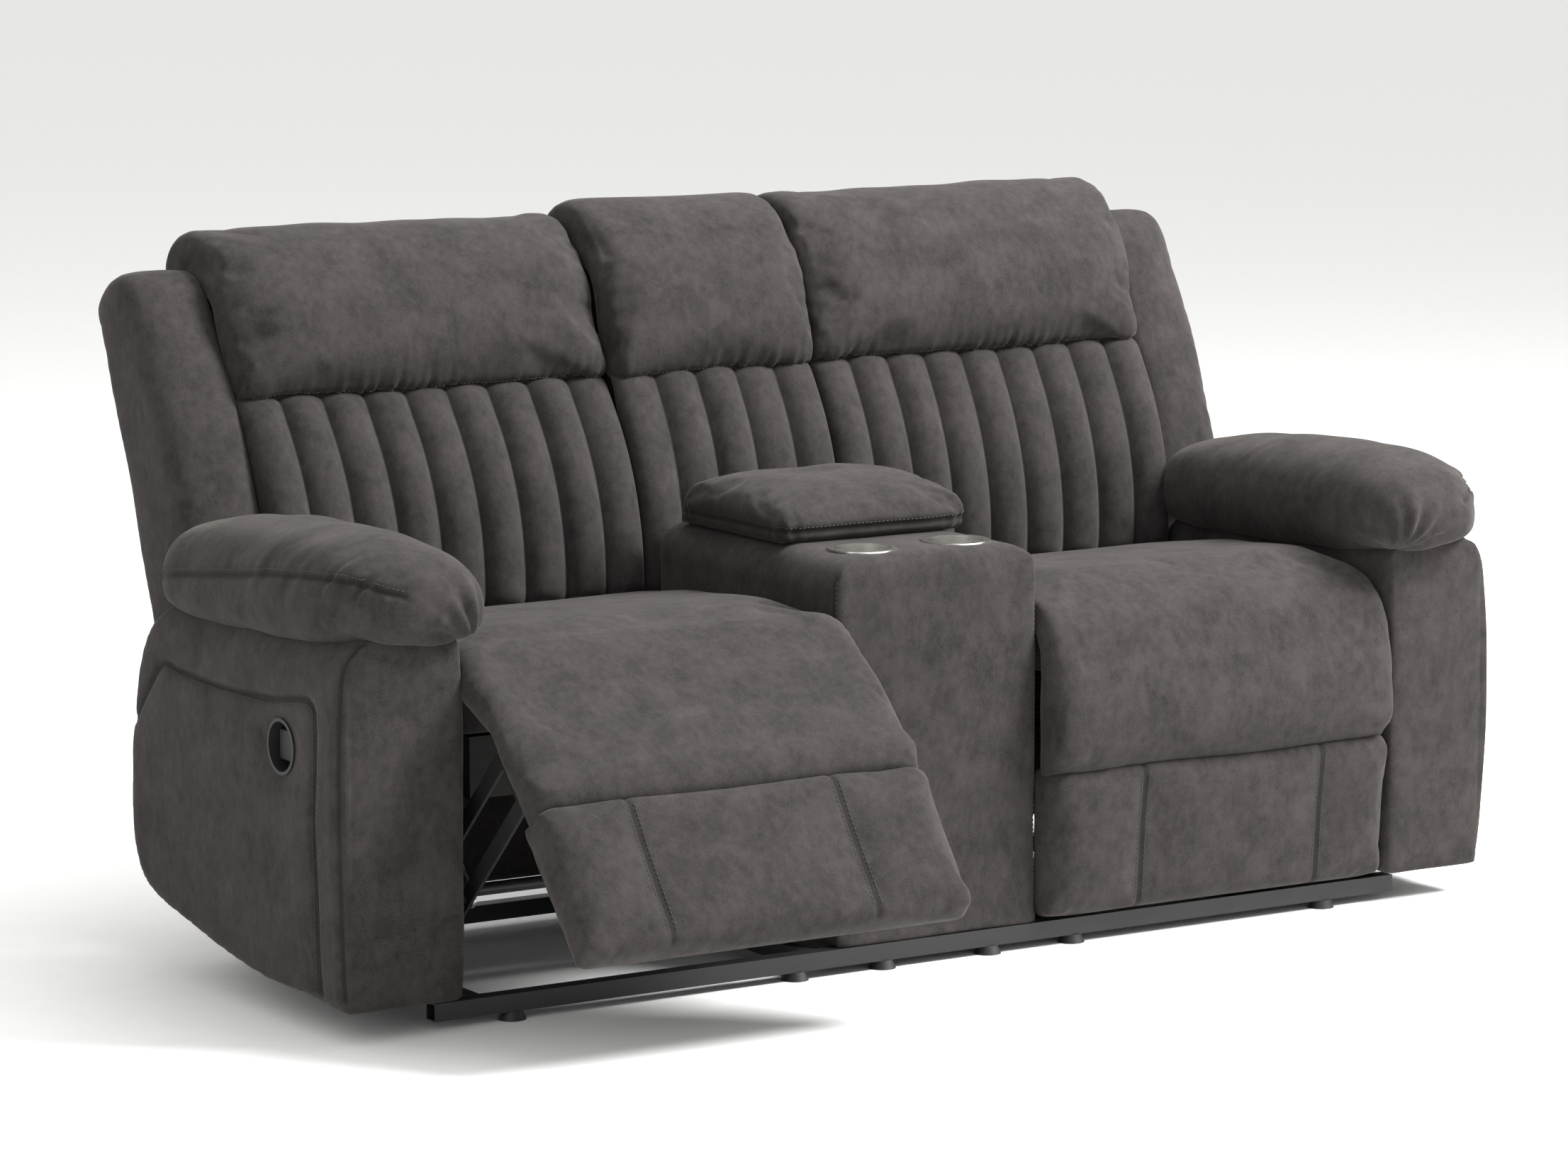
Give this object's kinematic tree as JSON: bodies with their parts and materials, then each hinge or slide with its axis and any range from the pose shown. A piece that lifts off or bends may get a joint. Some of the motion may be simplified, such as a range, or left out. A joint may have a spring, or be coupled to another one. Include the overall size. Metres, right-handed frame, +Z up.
{
  "type": "recliner sofa",
  "caption": "Padded reclining loveseat with channelled backs, head cushions, pillow arms, fold-out footrests and a centre console with cup holders and a lidded box.",
  "frame": {"origin": "on the floor, under the middle of the box round the sofa as pictured, left footrest half open", "axes": "+X to the right of someone facing the sofa, +Y to the back, +Z up"},
  "size_m": [1.9462, 1.2208, 1.0351],
  "materials": {
    "suede": "brushed suede cloth, mottled charcoal",
    "webbing": "woven elastic webbing",
    "plywood": "raw plywood",
    "black_steel": "black powder coat",
    "zinc_steel": "zinc plated",
    "stainless": "brushed",
    "black_plastic": "moulded, satin"
  },
  "bodies": {
    "frame": {"cross_rails": "black_steel", "base_rails": "black_steel", "glide_feet": "black_plastic", "console_box": "plywood", "console_deck": "suede", "console_cover": "suede", "cup_holders": "stainless", "lid_hinge": "zinc_steel", "centre_back_frame": "plywood", "centre_back_channels": "suede", "centre_head_cushion": "suede", "centre_back_panel": "suede", "lower_back_panel": "suede", "pull_cups": "black_plastic", "right_arm_frame": "plywood", "left_arm_frame": "plywood", "right_arm_cover": "suede", "left_arm_cover": "suede", "right_arm_front": "suede", "left_arm_front": "suede", "right_arm_pad": "suede", "left_arm_pad": "suede"},
    "console_lid": {"lid_board": "plywood", "lid_pad": "suede"},
    "left_pull": {"left_pull_paddle": "black_plastic"},
    "right_pull": {"right_pull_paddle": "black_plastic"},
    "left_seat": {"left_seat_box": "plywood", "left_seat_webbing": "webbing", "left_seat_cushion": "suede", "left_side_plates": "black_steel"},
    "left_footrest": {"left_footrest_board": "plywood", "left_footrest_brackets": "black_steel", "left_footrest_upper_pad": "suede", "left_footrest_lower_pad": "suede"},
    "left_front_links": {"left_front_links": "black_steel"},
    "left_rear_links": {"left_rear_links": "black_steel"},
    "left_upper_couplers": {"left_upper_couplers": "black_steel"},
    "left_lower_couplers": {"left_lower_couplers": "zinc_steel"},
    "left_back": {"left_back_frame": "plywood", "left_back_channels": "suede", "left_head_cushion": "suede", "left_wing": "suede", "left_back_panel": "suede"},
    "right_seat": {"right_seat_box": "plywood", "right_seat_webbing": "webbing", "right_seat_cushion": "suede", "right_side_plates": "black_steel"},
    "right_footrest": {"right_footrest_board": "plywood", "right_footrest_brackets": "black_steel", "right_footrest_upper_pad": "suede", "right_footrest_lower_pad": "suede"},
    "right_front_links": {"right_front_links": "black_steel"},
    "right_rear_links": {"right_rear_links": "black_steel"},
    "right_upper_couplers": {"right_upper_couplers": "black_steel"},
    "right_lower_couplers": {"right_lower_couplers": "zinc_steel"},
    "right_back": {"right_back_frame": "plywood", "right_back_channels": "suede", "right_head_cushion": "suede", "right_wing": "suede", "right_back_panel": "suede"}
  },
  "joints": [
    {"name": "left_recline", "type": "hinge", "parent": "left_seat", "child": "left_back", "pos_m": [-0.4765, 0.29962, 0.4], "axis": [-1, 0, 0], "range_deg": [-5, 25]},
    {"name": "left_seat_glide", "type": "slide", "parent": "frame", "child": "left_seat", "axis": [0, -1, 0], "range_m": [-0.01334, 0.06668]},
    {"name": "left_footrest_fold", "type": "hinge", "parent": "left_seat", "child": "left_footrest", "pos_m": [-0.4765, -0.29038, 0.528], "axis": [-1, 0, 0], "range_deg": [-41, 47]},
    {"name": "left_front_links_pivot", "type": "hinge", "parent": "left_seat", "child": "left_front_links", "pos_m": [-0.4765, -0.13906, 0.37668], "axis": [-1, 0, 0], "range_deg": [-41.01, 47.01]},
    {"name": "left_rear_links_pivot", "type": "hinge", "parent": "left_seat", "child": "left_rear_links", "pos_m": [-0.4765, -0.06552, 0.30314], "axis": [-1, 0, 0], "range_deg": [-41.01, 47.01]},
    {"name": "left_upper_couplers_pivot", "type": "hinge", "parent": "left_front_links", "child": "left_upper_couplers", "pos_m": [-0.4765, -0.19595, 0.22739], "axis": [-1, 0, 0], "range_deg": [-47.01, 41.01]},
    {"name": "left_lower_couplers_pivot", "type": "hinge", "parent": "left_front_links", "child": "left_lower_couplers", "pos_m": [-0.4765, -0.24516, 0.17079], "axis": [-1, 0, 0], "range_deg": [-47.01, 41.01]},
    {"name": "right_recline", "type": "hinge", "parent": "right_seat", "child": "right_back", "pos_m": [0.4765, 0.31296, 0.4], "axis": [-1, 0, 0], "range_deg": [0, 30]},
    {"name": "right_seat_glide", "type": "slide", "parent": "frame", "child": "right_seat", "axis": [0, -1, 0], "range_m": [-0.00001, 0.08001]},
    {"name": "right_footrest_fold", "type": "hinge", "parent": "right_seat", "child": "right_footrest", "pos_m": [0.4765, -0.27704, 0.528], "axis": [-1, 0, 0], "range_deg": [0, 88]},
    {"name": "right_front_links_pivot", "type": "hinge", "parent": "right_seat", "child": "right_front_links", "pos_m": [0.4765, -0.12572, 0.37668], "axis": [-1, 0, 0], "range_deg": [-0.01, 88.01]},
    {"name": "right_rear_links_pivot", "type": "hinge", "parent": "right_seat", "child": "right_rear_links", "pos_m": [0.4765, -0.05218, 0.30314], "axis": [-1, 0, 0], "range_deg": [-0.01, 88.01]},
    {"name": "right_upper_couplers_pivot", "type": "hinge", "parent": "right_front_links", "child": "right_upper_couplers", "pos_m": [0.4765, -0.07072, 0.22668], "axis": [-1, 0, 0], "range_deg": [-88.01, 0.01]},
    {"name": "right_lower_couplers_pivot", "type": "hinge", "parent": "right_front_links", "child": "right_lower_couplers", "pos_m": [0.4765, -0.07072, 0.15168], "axis": [-1, 0, 0], "range_deg": [-88.01, 0.01]},
    {"name": "console_lid_hinge", "type": "hinge", "parent": "frame", "child": "console_lid", "pos_m": [0, 0.20096, 0.595], "axis": [-1, 0, 0], "range_deg": [0, 75]},
    {"name": "left_pull_lever", "type": "hinge", "parent": "frame", "child": "left_pull", "pos_m": [-0.954, -0.14004, 0.381], "axis": [0, 0, 1], "range_deg": [0, 35], "stiffness_Nm_per_rad": 0.6},
    {"name": "right_pull_lever", "type": "hinge", "parent": "frame", "child": "right_pull", "pos_m": [0.954, -0.14004, 0.381], "axis": [0, 0, -1], "range_deg": [0, 35], "stiffness_Nm_per_rad": 0.6}
  ],
  "couplings": [
    {"joint": "left_seat_glide", "follows": "left_recline", "m_per_rad": 0.15279},
    {"joint": "left_front_links_pivot", "follows": "left_footrest_fold", "ratio": 1},
    {"joint": "left_rear_links_pivot", "follows": "left_footrest_fold", "ratio": 1},
    {"joint": "left_upper_couplers_pivot", "follows": "left_footrest_fold", "ratio": -1},
    {"joint": "left_lower_couplers_pivot", "follows": "left_footrest_fold", "ratio": -1},
    {"joint": "right_seat_glide", "follows": "right_recline", "m_per_rad": 0.15279},
    {"joint": "right_front_links_pivot", "follows": "right_footrest_fold", "ratio": 1},
    {"joint": "right_rear_links_pivot", "follows": "right_footrest_fold", "ratio": 1},
    {"joint": "right_upper_couplers_pivot", "follows": "right_footrest_fold", "ratio": -1},
    {"joint": "right_lower_couplers_pivot", "follows": "right_footrest_fold", "ratio": -1}
  ]
}
